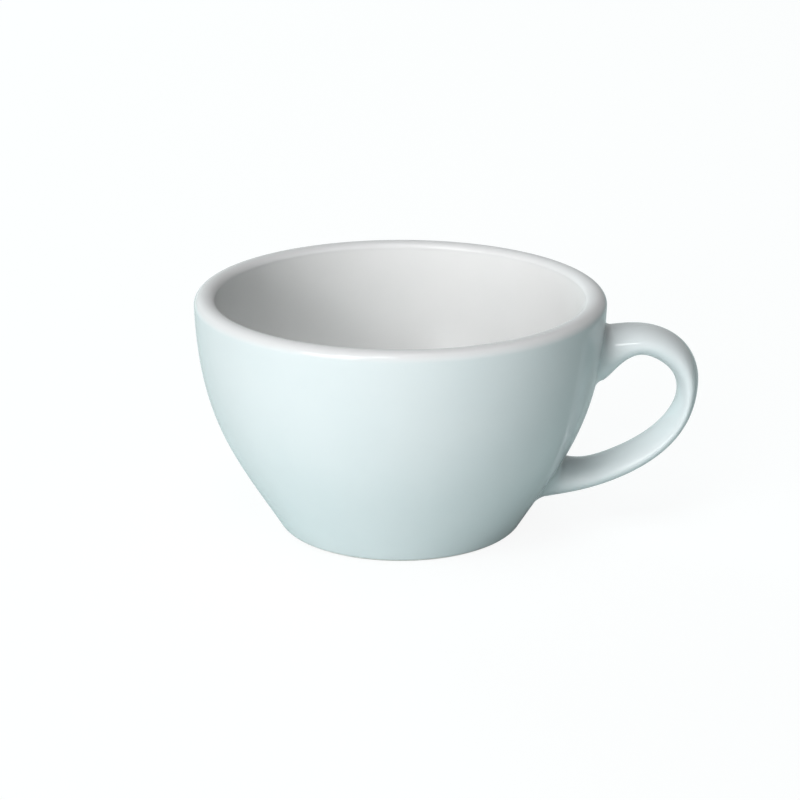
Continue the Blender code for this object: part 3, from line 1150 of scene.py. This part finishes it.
@dataclass
class Studio:
    """The floor, the soft light and the camera."""

    form: CupForm
    photo_pixels: float = 800.0
    focal_pixels: float = 2539.556
    target_pixel: tuple[float, float] = (400.47, 405.48)
    distance: float = 656.25 * MM
    elevation: float = math.radians(18.85)
    sensor: float = 36.0
    near_clip: float = 10.0 * MM
    floor_size: float = 12.0
    floor_drop: float = 0.05 * MM
    floor_colour: Colour = (0.54, 0.66, 0.66)
    floor_white_share: float = 0.85
    floor_mirrored_share: float = 0.15
    floor_white: float = 1.08
    lamp_distance: float = 2.4
    lamps: tuple[Softbox, ...] = (
        Softbox("main", -40.5, 30.0, 1.27, 1.2, 19.0, mirrored=True),
        Softbox("upper spark", -13.0, 58.0, 0.5, 0.3, 4.2, mirrored=True),
        Softbox("lower spark", -33.0, 49.0, 0.5, 0.3, 4.2, mirrored=True),
        Softbox("low front", -24.0, 10.5, 1.0, 0.8, 32.4),
        Softbox("high front", -15.0, 65.0, 1.0, 1.0, 8.0),
        Softbox("top", 0.0, 85.0, 1.0, 1.0, 11.5),
        Softbox("left back", -150.0, 12.0, 1.0, 1.0, 44.0, colour=(0.85, 1.0, 1.0)),
    )
    ambient: Colour = (0.003, 0.006, 0.006)
    room_mirrored_share: float = 0.49

    @property
    def target(self) -> Vector:
        """The middle of the bowl."""
        return Vector((self.form.axis_x, 0.0, self.form.height / 2))

    def towards(self, azimuth: float, elevation: float) -> Vector:
        """Give the direction from the bowl to a place in the room.

        Args:
            azimuth: Angle to the right of the camera's side, in radians.
            elevation: Angle above the table, in radians.

        Returns:
            A unit vector.
        """
        flat = math.cos(elevation)
        return Vector((flat * math.sin(azimuth), -flat * math.cos(azimuth), math.sin(elevation)))

    def build(self) -> None:
        """Set the stage."""
        self.lay_floor()
        self.light_room()
        for lamp in self.lamps:
            self.hang(lamp)
        self.add_camera()
        bpy.context.scene.view_settings.view_transform = "Standard"

    def lay_floor(self) -> None:
        """Lay a plain pale floor that keeps the object's shadow."""
        mesh = bpy.data.meshes.new("floor")
        half = self.floor_size / 2
        corners = [(-half, -half), (half, -half), (half, half), (-half, half)]
        mesh.from_pydata([(x, y, -self.floor_drop) for x, y in corners], [], [(0, 1, 2, 3)])
        floor = bpy.data.objects.new("floor", mesh)
        bpy.context.scene.collection.objects.link(floor)
        mesh.materials.append(self.floor_material())

    def floor_material(self) -> bpy.types.Material:
        """Make a pale matt finish that glows nearly white to the camera, and a little in reflections.

        Returns:
            The new material.
        """
        made = bpy.data.materials.new("floor")
        made.use_nodes = True
        tree = Tree(made.node_tree)
        rays = tree.add("ShaderNodeLightPath").outputs
        mirrored = tree.math("MAXIMUM", rays["Is Glossy Ray"], rays["Is Transmission Ray"])
        in_mirrors = tree.math("MULTIPLY", mirrored, self.floor_mirrored_share)
        in_view = tree.math("MULTIPLY", rays["Is Camera Ray"], self.floor_white_share)
        share = tree.math("MAXIMUM", in_view, in_mirrors)
        matt = tree.add("ShaderNodeBsdfDiffuse", Color=(*self.floor_colour, 1.0))
        white = tree.add("ShaderNodeEmission", Strength=self.floor_white)
        shown = tree.add("ShaderNodeMixShader", Fac=share)
        tree.feed(shown.inputs[1], matt.outputs["BSDF"])
        tree.feed(shown.inputs[2], white.outputs["Emission"])
        tree.add("ShaderNodeOutputMaterial", Surface=shown.outputs["Shader"])
        return made

    def light_room(self) -> None:
        """Give the room a faint cool light, and make it white in view and half as bright in reflections."""
        world = bpy.data.worlds.new("room")
        world.use_nodes = True
        tree = Tree(world.node_tree)
        rays = tree.add("ShaderNodeLightPath").outputs
        in_view = tree.math("MAXIMUM", rays["Is Camera Ray"], rays["Is Transmission Ray"])
        in_mirrors = tree.math("MULTIPLY", rays["Is Glossy Ray"], self.room_mirrored_share)
        share = tree.math("MAXIMUM", in_view, in_mirrors)
        dim = tree.add("ShaderNodeBackground", Color=(*self.ambient, 1.0), Strength=1.0)
        white = tree.add("ShaderNodeBackground", Color=(1.0, 1.0, 1.0, 1.0), Strength=1.0)
        shown = tree.add("ShaderNodeMixShader", Fac=share)
        tree.feed(shown.inputs[1], dim.outputs["Background"])
        tree.feed(shown.inputs[2], white.outputs["Background"])
        tree.add("ShaderNodeOutputWorld", Surface=shown.outputs["Shader"])
        bpy.context.scene.world = world

    def hang(self, box: Softbox) -> None:
        """Hang a lamp in the room.

        Args:
            box: The lamp's place, size and power.
        """
        lamp = bpy.data.lights.new(box.name, "AREA")
        lamp.shape = "RECTANGLE"
        lamp.size = box.width
        lamp.size_y = box.height
        lamp.energy = box.power
        lamp.color = box.colour
        hung = bpy.data.objects.new(box.name, lamp)
        away = self.towards(math.radians(box.azimuth), math.radians(box.elevation))
        hung.location = self.target + self.lamp_distance * away
        hung.rotation_euler = away.to_track_quat("Z", "Y").to_euler()
        hung.visible_camera = False
        hung.visible_glossy = box.mirrored
        bpy.context.scene.collection.objects.link(hung)

    def add_camera(self) -> None:
        """Stand the camera where the photograph was taken from."""
        data = bpy.data.cameras.new("camera")
        data.sensor_width = self.sensor
        data.lens = self.focal_pixels * self.sensor / self.photo_pixels
        data.shift_x = (self.photo_pixels / 2 - self.target_pixel[0]) / self.photo_pixels
        data.shift_y = (self.target_pixel[1] - self.photo_pixels / 2) / self.photo_pixels
        data.clip_start = self.near_clip
        camera = bpy.data.objects.new("camera", data)
        camera.location = self.target + self.distance * self.towards(0.0, self.elevation)
        camera.rotation_euler = (math.pi / 2 - self.elevation, 0.0, 0.0)
        bpy.context.scene.collection.objects.link(camera)
        bpy.context.scene.camera = camera


def main() -> None:
    """Build the cup and the studio round it."""
    logging.basicConfig(level=logging.INFO, format="%(name)s: %(message)s")
    cup = CupForm.from_frame()
    porcelain = BarePorcelain("bare porcelain", colour=(0.80, 0.78, 0.73), rubbed=(0.70, 0.68, 0.64))
    slip = BarePorcelain("fired slip", colour=(0.78, 0.76, 0.70), rubbed=(0.70, 0.68, 0.62))
    white = Glaze(
        "white glaze",
        colour=(0.765, 0.768, 0.765),
        mottle=(0.752, 0.758, 0.755),
        # The lining's darkening towards the crown is painted shade on the lip.
        fade_top=cup.crown - WHITE_LIP_SHADE_START,
        fade_depth=WHITE_LIP_SHADE_DEPTH,
        roughness=SATIN_ROUGHNESS,
    )
    blue = Glaze(
        "blue glaze",
        colour=(0.706, 0.749, 0.760),
        mottle=(0.693, 0.740, 0.752),
        fade_top=cup.crown - cup.white_lip_depth,
        fade_depth=BLUE_FADE_DEPTH,
    )
    Bowl(cup, TurningLathe(), porcelain, white, blue).build()
    Handle(HandleForm.from_frame(cup), porcelain, slip, blue).build()
    Studio(cup).build()


if __name__ == "__main__":
    main()
